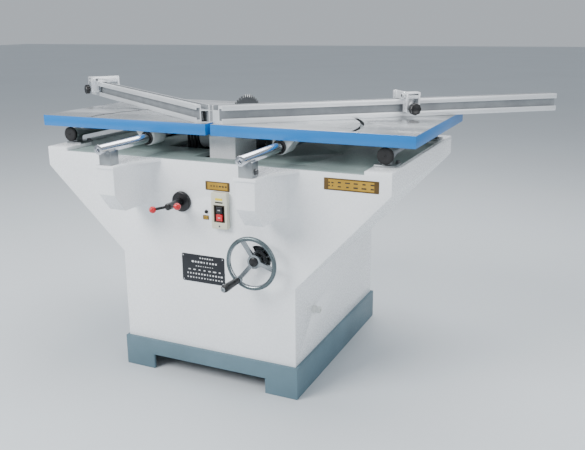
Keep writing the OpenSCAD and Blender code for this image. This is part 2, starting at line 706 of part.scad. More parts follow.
module roller() {
    translate([rail_x, table_y, roller_z]) rotate([0, 90, 0]) difference() {
        cylinder(r = 22, h = roller_w, center = true);
        cylinder(r = 6 + running, h = roller_w + 2, center = true);
        rotate_extrude() translate([roller_z - rail_z, 0]) circle(rail_r + gap);
    }
}
module pivot_pin() {
    rod_along_z(pivot_x, pivot_y, [under_z - 20, table_z + 36], 5);
    rod_along_z(pivot_x, pivot_y, [table_z + 5, table_z + 12], 8.5);
    translate([pivot_x, pivot_y, under_z - 18]) cylinder(r = 9, h = 8, $fn = 6);
}
module left_table() { color([0.72, 0.76, 0.8]) on_side("left") table(); }
module right_table() { color([0.72, 0.76, 0.8]) on_side("right") table(); }
module left_undercarriage() { color([0.86, 0.88, 0.88]) on_side("left") undercarriage(); }
module right_undercarriage() { color([0.86, 0.88, 0.88]) on_side("right") undercarriage(); }
module left_roller() { color([0.5, 0.52, 0.55]) on_side("left") roller(); }
module right_roller() { color([0.5, 0.52, 0.55]) on_side("right") roller(); }
module left_pivot_pin() { color([0.35, 0.36, 0.38]) on_side("left") pivot_pin(); }
module right_pivot_pin() { color([0.35, 0.36, 0.38]) on_side("right") pivot_pin(); }

// ---- fences ----
// Puts a fence's own frame (X along it, Y to its back, Z up from the table) in its place.
module on_fence(side) {
    on_side(side) translate([pivot_x, pivot_y, table_z])
        rotate([0, 0, side == "right" ? fence_right_deg : fence_left_deg]) children();
}
module fence_section() {
    difference() {
        translate([fence_front, gap]) square([fence_back - fence_front, fence_h]);
        translate([fence_front - 1, 17]) square([5, 25]);
        translate([fence_front + 3, 11]) square([9, 37]);
        translate([fence_front + 15, 42]) square([fence_back - fence_front - 18, 20]);
        translate([fence_front + 15, 4 + gap]) square([fence_back - fence_front - 18, 34]);
    }
}
module fence() {
    start = fence_start - 40;
    difference() {
        translate([start, 0, 0]) rotate([90, 0, 90]) linear_extrude(fence_l - start) fence_section();
        translate([fence_start, fence_front, -1]) rotate([0, 0, fence_mitre])
            translate([-100, -20, 0]) cube([100, 100, 80]);
        translate([0, 0, -1]) cylinder(r = 5 + running, h = 6);
    }
}
module fence_end_plug() {
    // fills the hollow of the right fence at its mitred end
    intersection() {
        span([-60, -12], [fence_front + 15, fence_back - 3], [4 + gap, 38 + gap]);
        translate([fence_start, fence_front, -1]) rotate([0, 0, fence_mitre]) cube([120, 100, 80]);
    }
}
module clamp_bracket() {
    n0 = fence_back;
    span([clamp_s - 20, clamp_s + 20], [n0, n0 + 6], [gap, 38]);
    difference() {
        span([clamp_s - 20, clamp_s + 20], [n0, clamp_n + 15], [gap, 8]);
        rod_along_z(clamp_s, clamp_n, [-1, 9], 5);
    }
    rod_along_z(clamp_s, clamp_n, [-table_plate - 12, 42], 5);
    rod_along_z(clamp_s, clamp_n, [-table_plate - 10, -table_plate - gap], 13);
}
module clamp_knob() {
    difference() {
        union() {
            rod_along_z(clamp_s, clamp_n, [8 + gap, 16], 9);
            rod_along_z(clamp_s, clamp_n, [15, 34], 11.5);
        }
        rod_along_z(clamp_s, clamp_n, [8, 35], 5 + running);
    }
}
module stop_bracket(s) {
    back = fence_front - gap;
    front = stop_front;
    difference() {
        union() {
            for (x = [s - stop_half, s + stop_half - 6]) span([x, x + 6], [front, back], [18, 82]);
            span([s - stop_half, s + stop_half], [back - 6, back], [18, 82]);
            span([s - stop_half, s + stop_half], [front, back], [76, 82]);
            span([s - stop_half, s + stop_half], [front, front + 4], [62, 72]);
        }
        rod_along_y(s, [front - 1, back + 1], stop_bolt_z, 5);
    }
    rod_along_y(s, [front - 18, fence_front + 10.5], stop_bolt_z, 5);
    span([s - 15, s + 15], [fence_front + 3.4, fence_front + 10.5], [13, 46]);
    rod_along_x([s - stop_half - 9, s - stop_half + 1], arm_n, arm_z, 4);
    rod_along_x([s - stop_half - 9, s - stop_half - 5.6 - gap], arm_n, arm_z, 7);
    rod_along_y(s, [back - 12, back - 6], stop_bolt_z, 9);
}
module stop_arm(s, reach) {
    x = [s - stop_half - 5.3, s - stop_half - gap];
    difference() {
        union() {
            rod_along_x(x, arm_n, arm_z, 13);
            span(x, [arm_n, reach], [arm_z - 13, arm_z + 13]);
            span([x[0] - 8, x[1]], [reach - 6, reach], [8, arm_z + 13]);
        }
        rod_along_x([x[0] - 1, x[1] + 1], arm_n, arm_z, 4 + running);
    }
}
module stop_knob(s) {
    front = stop_front;
    difference() {
        union() {
            rod_along_y(s, [front - 22, front - 4], stop_bolt_z, 20);
            rod_along_y(s, [front - 5, front - gap], stop_bolt_z, 10);
        }
        rod_along_y(s, [front - 18, front + 1], stop_bolt_z, 5 + running);
    }
}
module left_fence() { color([0.88, 0.89, 0.91]) on_fence("left") fence(); }
module right_fence() { color([0.88, 0.89, 0.91]) on_fence("right") { fence(); fence_end_plug(); } }
module left_clamp_bracket() { color([0.6, 0.62, 0.65]) on_fence("left") clamp_bracket(); }
module right_clamp_bracket() { color([0.6, 0.62, 0.65]) on_fence("right") clamp_bracket(); }
module left_clamp_knob() { color([0.06, 0.06, 0.07]) on_fence("left") clamp_knob(); }
module right_clamp_knob() { color([0.06, 0.06, 0.07]) on_fence("right") clamp_knob(); }
module left_stop_bracket() { color([0.82, 0.84, 0.87]) on_fence("left") stop_bracket(stop_left_s); }
module right_stop_bracket() { color([0.82, 0.84, 0.87]) on_fence("right") stop_bracket(stop_right_s); }
module left_stop_arm() { color([0.78, 0.8, 0.83]) on_fence("left") stop_arm(stop_left_s, stop_left_reach); }
module right_stop_arm() { color([0.78, 0.8, 0.83]) on_fence("right") stop_arm(stop_right_s, stop_right_reach); }
module left_stop_knob() { color([0.06, 0.06, 0.07]) on_fence("left") stop_knob(stop_left_s); }
module right_stop_knob() { color([0.06, 0.06, 0.07]) on_fence("right") stop_knob(stop_right_s); }

plinth();
cabinet();
bed_plate();
rod_ears();
rod_saddles();
inner_rods();
outer_rails();
rail_brackets();
rail_end_caps();
frame_bolts();
nameplate();
label_plates();
plate_rivets();
switch_housing();
switch_bezel();
pilot_lamp();
cable_gland();
rear_cover();
shaft_bush();
lever_disc();
guide_columns();
cross_beam();
start_button();
stop_button();
lock_lever();
carriage();
arbor_housing();
arbor_bearings();
motor();
blade_guard();
v_belts();
arbor_shaft();
saw_blade();
blade_flanges();
arbor_pulley();
motor_pulley();
lift_screw();
handwheel_shaft();
handwheel();
crank_handle();
left_table();
left_undercarriage();
left_roller();
left_pivot_pin();
right_table();
right_undercarriage();
right_roller();
right_pivot_pin();
left_fence();
left_clamp_bracket();
left_clamp_knob();
left_stop_bracket();
left_stop_arm();
left_stop_knob();
right_fence();
right_clamp_bracket();
right_clamp_knob();
right_stop_bracket();
right_stop_arm();
right_stop_knob();
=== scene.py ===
import json
import math

import bmesh
import bpy
from mathutils import Matrix, Vector

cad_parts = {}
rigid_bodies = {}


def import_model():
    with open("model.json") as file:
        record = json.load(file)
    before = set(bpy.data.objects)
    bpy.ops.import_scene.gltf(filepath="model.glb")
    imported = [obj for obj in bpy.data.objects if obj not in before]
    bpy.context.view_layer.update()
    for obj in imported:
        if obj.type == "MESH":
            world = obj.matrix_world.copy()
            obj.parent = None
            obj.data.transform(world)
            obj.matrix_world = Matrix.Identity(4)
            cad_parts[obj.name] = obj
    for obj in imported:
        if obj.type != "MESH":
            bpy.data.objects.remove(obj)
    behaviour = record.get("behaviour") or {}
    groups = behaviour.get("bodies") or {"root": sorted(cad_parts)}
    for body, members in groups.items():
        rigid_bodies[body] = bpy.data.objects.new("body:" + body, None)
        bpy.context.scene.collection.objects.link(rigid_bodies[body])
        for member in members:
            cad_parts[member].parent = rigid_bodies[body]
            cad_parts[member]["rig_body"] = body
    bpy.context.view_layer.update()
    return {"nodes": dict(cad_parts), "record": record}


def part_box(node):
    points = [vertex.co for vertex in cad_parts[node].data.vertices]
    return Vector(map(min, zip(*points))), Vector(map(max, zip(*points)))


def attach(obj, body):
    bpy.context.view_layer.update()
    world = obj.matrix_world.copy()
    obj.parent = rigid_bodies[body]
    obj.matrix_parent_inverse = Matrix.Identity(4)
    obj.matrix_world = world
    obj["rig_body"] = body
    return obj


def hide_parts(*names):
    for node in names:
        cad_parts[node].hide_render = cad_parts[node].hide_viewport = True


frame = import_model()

bl_info = {
    "name": "Sliding table mitre saw",
    "version": (1, 0, 0),
    "blender": (4, 5, 0),
    "location": "View3D > Sidebar > Mitre saw",
    "description": "Finishes the pieces of a circular saw with two sliding tables",
    "category": "Object",
}

SIDES = ("left", "right")

# the cabinet
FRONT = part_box("cabinet")[0].y       # its front face
WALL = 0.006                         # thickness of its sheets
BODY_HALF = 0.3165                   # from its middle to the outer face of a side wall
WING_RIM = 0.082                     # length of a raised rim pad at each end of a wing
BED_TOP = 0.739                      # where the rims are welded to the panels
FLARES = (0.411, 0.368)              # where the left and right wings leave the side walls
NEAR = 0.0002                        # how close an edge is to a weld that it belongs to

# what turns on the front, as (x, z) of its axis
WHEEL_AXIS = (0.193, 0.449)
LEVER_AXIS = (-0.076, 0.607)

# the fences, measured from their pivots
FENCE_ANGLE = {"left": math.radians(180 - 34.8), "right": math.radians(38.7)}
FENCE_PIVOT = {"left": Vector((-0.038, -0.287, 0.85)), "right": Vector((0.038, -0.287, 0.85))}
STOP_AT = {"left": 1.053, "right": 0.611}
CLAMP_REACH, CLAMP_BEHIND = 0.432, 0.031


# ---- what a user may change ----

def colour(name, description, default):
    return bpy.props.FloatVectorProperty(
        name=name, description=description, subtype="COLOR", size=3, min=0, max=1, default=default)


def length(name, description, default, top=0.02):
    return bpy.props.FloatProperty(
        name=name, description=description, unit="LENGTH", min=0, max=top, default=default, precision=4)


class SawColours(bpy.types.PropertyGroup):
    """Colours of the painted and moulded pieces."""
    cabinet: colour("Cabinet", "Gloss paint of the cabinet", (0.90, 0.92, 0.94))
    plinth: colour("Plinth", "Satin paint of the plinth", (0.10, 0.17, 0.21))
    bed: colour("Bed", "Grey-green paint of the bed", (0.25, 0.32, 0.31))
    edge: colour("Table edge", "Blue paint of the tables' edges", (0.0, 0.165, 0.50))
    casting: colour("Castings", "Paint of the castings", (0.62, 0.66, 0.67))
    gold: colour("Gold plates", "Ground of the gold plates", (0.46, 0.27, 0.03))
    switch: colour("Switch", "Moulding of the switch", (0.64, 0.63, 0.50))
    knob: colour("Black mouldings", "Knobs, handle and lever", (0.006, 0.006, 0.007))
    red: colour("Red mouldings", "Lever balls and stop button", (0.56, 0.004, 0.012))


class SawSizes(bpy.types.PropertyGroup):
    """Edge roundings and counts."""
    sheet_edge: length("Sheet edge", "Rounding of the cabinet's edges", 0.0022)
    cast_edge: length("Casting edge", "Rounding of the castings' edges", 0.0018)
    fine_edge: length("Fine edge", "Rounding of small machined edges", 0.0004)
    blade_tips: bpy.props.IntProperty(name="Blade tips", description="Carbide tips round the blade",
                                      default=60, min=12, max=96)
    cap_ribs: bpy.props.IntProperty(name="Cap ribs", description="Ribs round a rail end cap",
                                    default=40, min=8, max=80)


# ---- materials ----

FINISHES = {}


def new_material(name):
    """A material, its node tree and its shader."""
    made = bpy.data.materials.new(name)
    made.use_nodes = True
    return made, made.node_tree, made.node_tree.nodes["Principled BSDF"]


def object_noise(tree, scale, stretch=(1, 1, 1), turn=0.0, detail=4.0):
    """Noise in the piece's own coordinates, stretched along an axis turned about Z."""
    where = tree.nodes.new("ShaderNodeTexCoord")
    turned = tree.nodes.new("ShaderNodeMapping")
    turned.inputs["Rotation"].default_value = (0, 0, -turn)
    squeezed = tree.nodes.new("ShaderNodeMapping")
    squeezed.inputs["Scale"].default_value = stretch
    noise = tree.nodes.new("ShaderNodeTexNoise")
    noise.inputs["Scale"].default_value = scale
    noise.inputs["Detail"].default_value = detail
    tree.links.new(where.outputs["Object"], turned.inputs["Vector"])
    tree.links.new(turned.outputs[0], squeezed.inputs["Vector"])
    tree.links.new(squeezed.outputs[0], noise.inputs["Vector"])
    return noise.outputs[0]


def spread(tree, value, low, high, lowest=0.3, highest=0.7):
    """A value from lowest to highest, spread from low to high."""
    ranged = tree.nodes.new("ShaderNodeMapRange")
    for socket, number in zip(("From Min", "From Max", "To Min", "To Max"), (lowest, highest, low, high)):
        ranged.inputs[socket].default_value = number
    tree.links.new(value, ranged.inputs["Value"])
    return ranged.outputs[0]


def tint(tree, factor, first, second):
    """Two colours mixed by a factor."""
    mixed = tree.nodes.new("ShaderNodeMix")
    mixed.data_type = "RGBA"
    factor_socket, first_colour, second_colour = (mixed.inputs[i] for i in (0, 6, 7))
    first_colour.default_value = (*first, 1)
    second_colour.default_value = (*second, 1)
    tree.links.new(factor, factor_socket)
    return mixed.outputs[2]


def bump(tree, shader, height, strength, distance):
    """Roughen the shader's surface by a height."""
    bumped = tree.nodes.new("ShaderNodeBump")
    bumped.inputs["Strength"].default_value = strength
    bumped.inputs["Distance"].default_value = distance
    tree.links.new(height, bumped.inputs["Height"])
    tree.links.new(bumped.outputs[0], shader.inputs["Normal"])


def shade(base, by):
    return tuple(min(1.0, channel * by) for channel in base)


def finish(name, base, rough=(0.3, 0.4), metal=0.0, cloud=(2.5, 0.95, 1.04), grain=(260, 0.12, 0.0004),
           stretch=(1, 1, 1), turn=0.0, coat=0.0):
    """A finish with clouded colour, uneven gloss and a fine grain.

    cloud is its scale and its darkest and lightest shade, grain its scale, strength and depth.
    """
    cloud_scale, darkest, lightest = cloud
    grain_scale, strength, depth = grain
    made, tree, shader = new_material(name)
    wide = object_noise(tree, cloud_scale)
    tree.links.new(tint(tree, spread(tree, wide, 0, 1), shade(base, darkest), shade(base, lightest)),
                   shader.inputs["Base Color"])
    fine = object_noise(tree, grain_scale, stretch, turn)
    tree.links.new(spread(tree, fine, *rough), shader.inputs["Roughness"])
    bump(tree, shader, fine, strength, depth)
    shader.inputs["Metallic"].default_value = metal
    if coat:
        shader.inputs["Coat Weight"].default_value = coat
        shader.inputs["Coat Roughness"].default_value = 0.08
    return made


def ground_top(name):
    """Ground steel: long streaks across the table, with bright and dull bands."""
    made, tree, shader = new_material(name)
    bands = object_noise(tree, 1.0, (2.2, 9.0, 1.0), detail=5.0)
    streaks = object_noise(tree, 1.0, (14.0, 900.0, 1.0), detail=2.0)
    tree.links.new(tint(tree, spread(tree, bands, 0, 1), (0.40, 0.42, 0.44), (0.78, 0.80, 0.82)),
                   shader.inputs["Base Color"])
    tree.links.new(spread(tree, bands, 0.16, 0.34), shader.inputs["Roughness"])
    bump(tree, shader, streaks, 0.15, 0.0003)
    shader.inputs["Metallic"].default_value = 0.9
    return made


def finishes():
    """Every finish, made once and kept in FINISHES."""
    if FINISHES:
        return FINISHES
    c = bpy.context.scene.saw_colours
    FINISHES.update(
        # paint
        cabinet_paint=finish("cabinet_gloss", c.cabinet, (0.22, 0.32), grain=(190, 0.08, 0.0003), coat=0.4),
        plinth_paint=finish("plinth_satin", c.plinth, (0.42, 0.56), cloud=(6, 0.86, 1.12),
                            grain=(240, 0.3, 0.0005)),
        bed_paint=finish("bed_satin", c.bed, (0.34, 0.5), cloud=(5, 0.85, 1.15), grain=(160, 0.3, 0.0006)),
        edge_paint=finish("edge_blue", c.edge, (0.28, 0.38), cloud=(3, 0.93, 1.06), coat=0.25),
        casting_paint=finish("casting_paint", c.casting, (0.36, 0.5), cloud=(9, 0.9, 1.08),
                             grain=(110, 0.4, 0.001)),
        # metal
        ground_steel=ground_top("ground_table_top"),
        bright_steel=finish("polished_rod", (0.66, 0.68, 0.72), (0.10, 0.2), 1.0, (8, 0.92, 1.05),
                            (60, 0.03, 0.0002), (1, 12, 1)),
        rail_steel=finish("drawn_steel", (0.36, 0.38, 0.39), (0.3, 0.48), 1.0, (12, 0.82, 1.12),
                          (90, 0.15, 0.0004), (1, 6, 1)),
        dark_steel=finish("oiled_steel", (0.13, 0.135, 0.14), (0.3, 0.46), 0.9, (14, 0.8, 1.25),
                          (150, 0.2, 0.0004)),
        pulley_iron=finish("turned_iron", (0.16, 0.17, 0.18), (0.34, 0.5), 0.9, (10, 0.85, 1.15),
                           (200, 0.2, 0.0004)),
        motor_paint=finish("motor_paint", (0.055, 0.10, 0.13), (0.38, 0.52), cloud=(8, 0.85, 1.15),
                           grain=(120, 0.35, 0.0008)),
        # rubber and mouldings
        belt_rubber=finish("belt_rubber", (0.007, 0.007, 0.008), (0.6, 0.78), cloud=(20, 0.8, 1.4),
                           grain=(300, 0.35, 0.0004)),
        black_plastic=finish("black_moulding", c.knob, (0.26, 0.38), cloud=(16, 0.85, 1.3),
                             grain=(420, 0.15, 0.0002)),
        red_plastic=finish("red_moulding", c.red, (0.2, 0.3), cloud=(16, 0.92, 1.08),
                           grain=(380, 0.06, 0.0002), coat=0.3),
        switch_plastic=finish("switch_moulding", c.switch, (0.42, 0.54), cloud=(18, 0.95, 1.05),
                              grain=(500, 0.25, 0.0002)),
        bezel_plastic=finish("bezel_moulding", (0.075, 0.065, 0.045), (0.4, 0.5), cloud=(20, 0.85, 1.2),
                             grain=(500, 0.2, 0.0002)),
        gland_plastic=finish("gland_moulding", (0.72, 0.74, 0.72), (0.38, 0.48), cloud=(25, 0.95, 1.05),
                             grain=(450, 0.2, 0.0002)),
        # plates and their marks
        plate_black=finish("plate_black", (0.004, 0.005, 0.009), (0.36, 0.48), cloud=(12, 0.85, 1.3),
                           grain=(350, 0.06, 0.0001)),
        plate_gold=finish("plate_gold", c.gold, (0.3, 0.42), 0.35, (20, 0.88, 1.12), (300, 0.1, 0.0002),
                          (1, 1, 20)),
        rivet_metal=finish("rivet_metal", (0.72, 0.73, 0.75), (0.24, 0.34), 1.0, (30, 0.9, 1.05),
                           (260, 0.1, 0.0002)),
        wheel_metal=finish("wheel_polish", (0.32, 0.35, 0.37), (0.18, 0.32), 1.0, (14, 0.84, 1.12),
                           (130, 0.14, 0.0004)),
        mark_white=finish("mark_white", (0.74, 0.75, 0.76), (0.45, 0.55), cloud=(40, 0.94, 1.04)),
        mark_dark=finish("mark_dark", (0.025, 0.02, 0.012), (0.45, 0.55), cloud=(40, 0.85, 1.2)),
        mark_yellow=finish("mark_yellow", (0.80, 0.62, 0.02), (0.4, 0.5), cloud=(40, 0.94, 1.04)),
        # shaded slots, and what only part of a piece has
        slot_shadow=finish("slot_shadow", (0.05, 0.055, 0.06), (0.5, 0.6), 0.3, (30, 0.8, 1.2),
                           (200, 0.1, 0.0002)),
        fence_slot=finish("fence_slot", (0.30, 0.32, 0.34), (0.4, 0.55), 0.5, (20, 0.85, 1.1),
                          (200, 0.1, 0.0002)),
        wheel_rim=finish("wheel_rim", (0.115, 0.145, 0.155), (0.24, 0.36), 0.75, (14, 0.85, 1.12),
                         (130, 0.12, 0.0004)),
        gold_border=finish("gold_border", (0.10, 0.055, 0.008), (0.35, 0.45), 0.2, (40, 0.85, 1.15)),
        carbide=finish("carbide_tip", (0.50, 0.49, 0.46), (0.24, 0.36), 1.0, (60, 0.85, 1.1)),
    )
    for side in SIDES:
        FINISHES["fence_" + side] = finish(
            "anodised_" + side, (0.80, 0.82, 0.84), (0.28, 0.42), 0.55, (4, 0.94, 1.04), (1.0, 0.10, 0.0003),
            (6, 700, 700), FENCE_ANGLE[side])
    return FINISHES


def record_slot(node):
    """The material slot that the record gives a node."""
    return next(s["material_slot"] for s in frame["record"]["subparts"] if s["node"] == node)


# ---- making pieces ----

SHARPEST_SMOOTH = 32   # degrees between two faces, past which their edge is kept or rounded


def smooth_by_angle(mesh, degrees=SHARPEST_SMOOTH):
    """Smooth faces, with edges kept sharp where they turn by more than that."""
    work = bmesh.new()
    work.from_mesh(mesh)
    limit = math.radians(degrees)
    for face in work.faces:
        face.smooth = True
    for edge in work.edges:
        edge.smooth = len(edge.link_faces) == 2 and edge.calc_face_angle(0) < limit
    work.to_mesh(mesh)
    work.free()


def place(mesh, name, body, materials=()):
    """An object with its place in its mesh, riding a body."""
    for material in materials:
        mesh.materials.append(material)
    made = bpy.data.objects.new(name, mesh)
    bpy.context.scene.collection.objects.link(made)
    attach(made, body)
    return made


def settled(obj):
    """The object's mesh with its modifiers applied, as a plain mesh."""
    seen = obj.evaluated_get(bpy.context.evaluated_depsgraph_get())
    return bpy.data.meshes.new_from_object(seen)


def repaint(obj, material, chosen):
    """Give a material to the faces that chosen(centre, normal) picks."""
    obj.data.materials.append(material)
    index = len(obj.data.materials) - 1
    for face in obj.data.polygons:
        if chosen(face.center, face.normal):
            face.material_index = index


def refined(node, edge, segments=2, material=None, sharp=None):
    """A CAD node's shape with its edges rounded, except where sharp(middle) says so.

    It stands for the node.
    """
    source = frame["nodes"][node]
    mesh = source.data.copy()
    mesh.materials.clear()
    work = bmesh.new()
    work.from_mesh(mesh)
    bmesh.ops.remove_doubles(work, verts=work.verts, dist=2e-6)
    bmesh.ops.dissolve_limit(work, angle_limit=math.radians(0.4), verts=work.verts, edges=work.edges)
    weights = work.edges.layers.float.new("bevel_weight_edge")
    for rim in work.edges:
        if len(rim.link_faces) == 2 and rim.calc_face_angle(0) > math.radians(SHARPEST_SMOOTH):
            middle = (rim.verts[0].co + rim.verts[1].co) / 2
            rim[weights] = 0.0 if sharp and sharp(middle) else 1.0
    work.to_mesh(mesh)
    work.free()
    if edge > 0:
        rough = bpy.data.objects.new(node + "_work", mesh)
        bpy.context.scene.collection.objects.link(rough)
        rounding = rough.modifiers.new("rounding", "BEVEL")
        rounding.width = edge
        rounding.segments = segments
        rounding.limit_method = "WEIGHT"
        rounding.use_clamp_overlap = True
        bpy.context.view_layer.update()
        mesh = settled(rough)
        bpy.data.objects.remove(rough)
    smooth_by_angle(mesh)
    slot = record_slot(node)
    made = place(mesh, node + "_finish", source["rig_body"], [material or finishes()[slot]])
    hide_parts(node)
    return made


def dress(node, material=None):
    """A CAD node that keeps its own mesh and gets a better finish."""
    data = frame["nodes"][node].data
    data.materials.clear()
    data.materials.append(material or finishes()[record_slot(node)])


def mesh_of(name, verts, faces):
    """A plain mesh with its doubles merged and its faces outwards."""
    mesh = bpy.data.meshes.new(name)
    mesh.from_pydata(verts, [], faces)
    work = bmesh.new()
    work.from_mesh(mesh)
    bmesh.ops.remove_doubles(work, verts=work.verts, dist=1e-7)
    bmesh.ops.recalc_face_normals(work, faces=work.faces)
    work.to_mesh(mesh)
    work.free()
    smooth_by_angle(mesh)
    return mesh


def unbent(radius, angle):
    """The radius of a plain ring, the same all the way round."""
    return radius


def lobed(smallest):
    """What bends every ring larger than smallest into eight shallow lobes."""
    lobes, depth = 8, 0.07

    def bent(radius, angle):
        if radius <= smallest:
            return radius
        return radius * (1 - depth * (1 - math.cos(lobes * angle)) / 2)

    return bent


def turning(name, rings, count, matrix, bent=unbent):
    """A closed turned shape from (radius, height) rings; bent(radius, angle) shapes each ring."""
    angles = [2 * math.pi * i / count for i in range(count)]
    verts = [matrix @ Vector((bent(r, t) * math.cos(t), bent(r, t) * math.sin(t), h))
             for r, h in rings for t in angles]
    faces = [(a * count + i, a * count + (i + 1) % count,
              (a + 1) * count + (i + 1) % count, (a + 1) * count + i)
             for a in range(len(rings) - 1) for i in range(count)]
    faces += [tuple(range(count)), tuple(range((len(rings) - 1) * count, len(rings) * count))]
    return mesh_of(name, verts, faces)


def turned_ring(name, rings, count, matrix):
    """A closed ring with a hole, from a closed loop of (radius, height) points."""
    angles = [2 * math.pi * i / count for i in range(count)]
    verts = [matrix @ Vector((r * math.cos(t), r * math.sin(t), h)) for r, h in rings for t in angles]
    rows = len(rings)
    faces = [(a * count + i, a * count + (i + 1) % count,
              (a + 1) % rows * count + (i + 1) % count, (a + 1) % rows * count + i)
             for a in range(rows) for i in range(count)]
    return mesh_of(name, verts, faces)


def along(origin, direction):
    """Matrix that takes +Z to a direction from an origin."""
    return Matrix.Translation(origin) @ Vector(direction).to_track_quat("Z", "Y").to_matrix().to_4x4()


def from_front(axis, y):
    """Matrix for a turning on an (x, z) axis that grows forwards from y."""
    x, z = axis
    return along((x, y, z), (0, -1, 0))


def fence_matrix(side):
    """X along the fence, Y to its back, Z up, from the fence's pivot."""
    angle = FENCE_ANGLE[side]
    run = Vector((math.cos(angle), math.sin(angle), 0))
    behind = Vector((-run.y, run.x, 0)) if side == "right" else Vector((run.y, -run.x, 0))
    turn = Matrix((run, behind, Vector((0, 0, 1)))).transposed().to_4x4()
    return Matrix.Translation(FENCE_PIVOT[side]) @ turn


# ---- geometry nodes ----

def new_tree(name, inputs):
    """An empty tree with named inputs, and its input and output nodes."""
    tree = bpy.data.node_groups.new(name, "GeometryNodeTree")
    for label, kind, default in inputs:
        socket = tree.interface.new_socket(name=label, in_out="INPUT", socket_type=kind)
        if default is not None:
            socket.default_value = default
    tree.interface.new_socket(name="Geometry", in_out="OUTPUT", socket_type="NodeSocketGeometry")
    return tree, tree.nodes.new("NodeGroupInput"), tree.nodes.new("NodeGroupOutput")


def close_tree(tree, source, sink, instances):
    """Make the instances real and paint them, at the end of a tree."""
    real = tree.nodes.new("GeometryNodeRealizeInstances")
    painted = tree.nodes.new("GeometryNodeSetMaterial")
    tree.links.new(instances, real.inputs[0])
    tree.links.new(real.outputs[0], painted.inputs["Geometry"])
    tree.links.new(source.outputs["Material"], painted.inputs["Material"])
    tree.links.new(painted.outputs[0], sink.inputs[0])


def ring_tree():
    """Blocks standing round a circle in the XY plane."""
    if "ring_of_blocks" in bpy.data.node_groups:
        return bpy.data.node_groups["ring_of_blocks"]
    tree, source, sink = new_tree("ring_of_blocks", [
        ("Count", "NodeSocketInt", 12), ("Radius", "NodeSocketFloat", 0.02),
        ("Size", "NodeSocketVector", (0.002, 0.002, 0.002)), ("Start", "NodeSocketFloat", 0.0),
        ("Material", "NodeSocketMaterial", None)])
    n, link = tree.nodes, tree.links.new
    circle, cube = n.new("GeometryNodeMeshCircle"), n.new("GeometryNodeMeshCube")
    link(source.outputs["Count"], circle.inputs["Vertices"])
    link(source.outputs["Radius"], circle.inputs["Radius"])
    link(source.outputs["Size"], cube.inputs["Size"])
    index, step, angle = n.new("GeometryNodeInputIndex"), n.new("ShaderNodeMath"), n.new("ShaderNodeMath")
    step.operation, angle.operation = "DIVIDE", "MULTIPLY"
    step.inputs[0].default_value = 2 * math.pi
    link(source.outputs["Count"], step.inputs[1])
    link(index.outputs[0], angle.inputs[0])
    link(step.outputs[0], angle.inputs[1])
    turn = n.new("ShaderNodeCombineXYZ")
    link(angle.outputs[0], turn.inputs["Z"])
    stand = n.new("GeometryNodeInstanceOnPoints")
    link(circle.outputs["Mesh"], stand.inputs["Points"])
    link(cube.outputs["Mesh"], stand.inputs["Instance"])
    link(turn.outputs[0], stand.inputs["Rotation"])
    spin, about = n.new("GeometryNodeTransform"), n.new("ShaderNodeCombineXYZ")
    link(source.outputs["Start"], about.inputs["Z"])
    link(about.outputs[0], spin.inputs["Rotation"])
    link(stand.outputs[0], spin.inputs["Geometry"])
    close_tree(tree, source, sink, spin.outputs["Geometry"])
    return tree


def rows_tree():
    """Rows of short flat marks of uneven length, in the XZ plane."""
    if "rows_of_marks" in bpy.data.node_groups:
        return bpy.data.node_groups["rows_of_marks"]
    tree, source, sink = new_tree("rows_of_marks", [
        ("Columns", "NodeSocketInt", 8), ("Rows", "NodeSocketInt", 3),
        ("Width", "NodeSocketFloat", 0.1), ("Height", "NodeSocketFloat", 0.03),
        ("Mark", "NodeSocketVector", (0.004, 0.0003, 0.003)), ("Seed", "NodeSocketInt", 1),
        ("Material", "NodeSocketMaterial", None)])
    n, link = tree.nodes, tree.links.new
    grid, cube = n.new("GeometryNodeMeshGrid"), n.new("GeometryNodeMeshCube")
    for given, taken in (("Width", "Size X"), ("Height", "Size Y"),
                         ("Columns", "Vertices X"), ("Rows", "Vertices Y")):
        link(source.outputs[given], grid.inputs[taken])
    link(source.outputs["Mark"], cube.inputs["Size"])
    upright = n.new("GeometryNodeTransform")
    upright.inputs["Rotation"].default_value = (math.pi / 2, 0, 0)
    link(grid.outputs["Mesh"], upright.inputs["Geometry"])
    uneven = n.new("FunctionNodeRandomValue")
    uneven.data_type = "FLOAT_VECTOR"
    uneven.inputs[0].default_value = (0.45, 1, 0.8)
    uneven.inputs[1].default_value = (1, 1, 1)
    link(source.outputs["Seed"], uneven.inputs["Seed"])
    stand = n.new("GeometryNodeInstanceOnPoints")
    link(upright.outputs[0], stand.inputs["Points"])
    link(cube.outputs["Mesh"], stand.inputs["Instance"])
    link(uneven.outputs[0], stand.inputs["Scale"])
    close_tree(tree, source, sink, stand.outputs[0])
    return tree


def grown(tree, name, values, matrix):
    """The tree's result as a plain mesh, in its place."""
    seed = bpy.data.objects.new(name + "_seed", bpy.data.meshes.new(name + "_seed"))
    bpy.context.scene.collection.objects.link(seed)
    growth = seed.modifiers.new("growth", "NODES")
    growth.node_group = tree
    for item in tree.interface.items_tree:
        if item.in_out == "INPUT" and item.name in values:
            growth[item.identifier] = values[item.name]
    bpy.context.view_layer.update()
    mesh = settled(seed)
    mesh.name = name
    bpy.data.objects.remove(seed)
    mesh.transform(matrix)
    return mesh


def block_ring(name, body, material, count, radius, size, matrix, start=0.0):
    """Blocks of one size round a circle, as one piece."""
    mesh = grown(ring_tree(), name, {"Count": count, "Radius": radius, "Size": size, "Start": start,
                                     "Material": material}, matrix)
    return place(mesh, name, body)


def mark_rows(name, body, material, centre, columns, rows, width, height, mark, seed):
    """Rows of generic marks, as one piece."""
    mesh = grown(rows_tree(), name, {"Columns": columns, "Rows": rows, "Width": width, "Height": height,
                                     "Mark": mark, "Seed": seed, "Material": material},
                 Matrix.Translation(centre))
    return place(mesh, name, body)


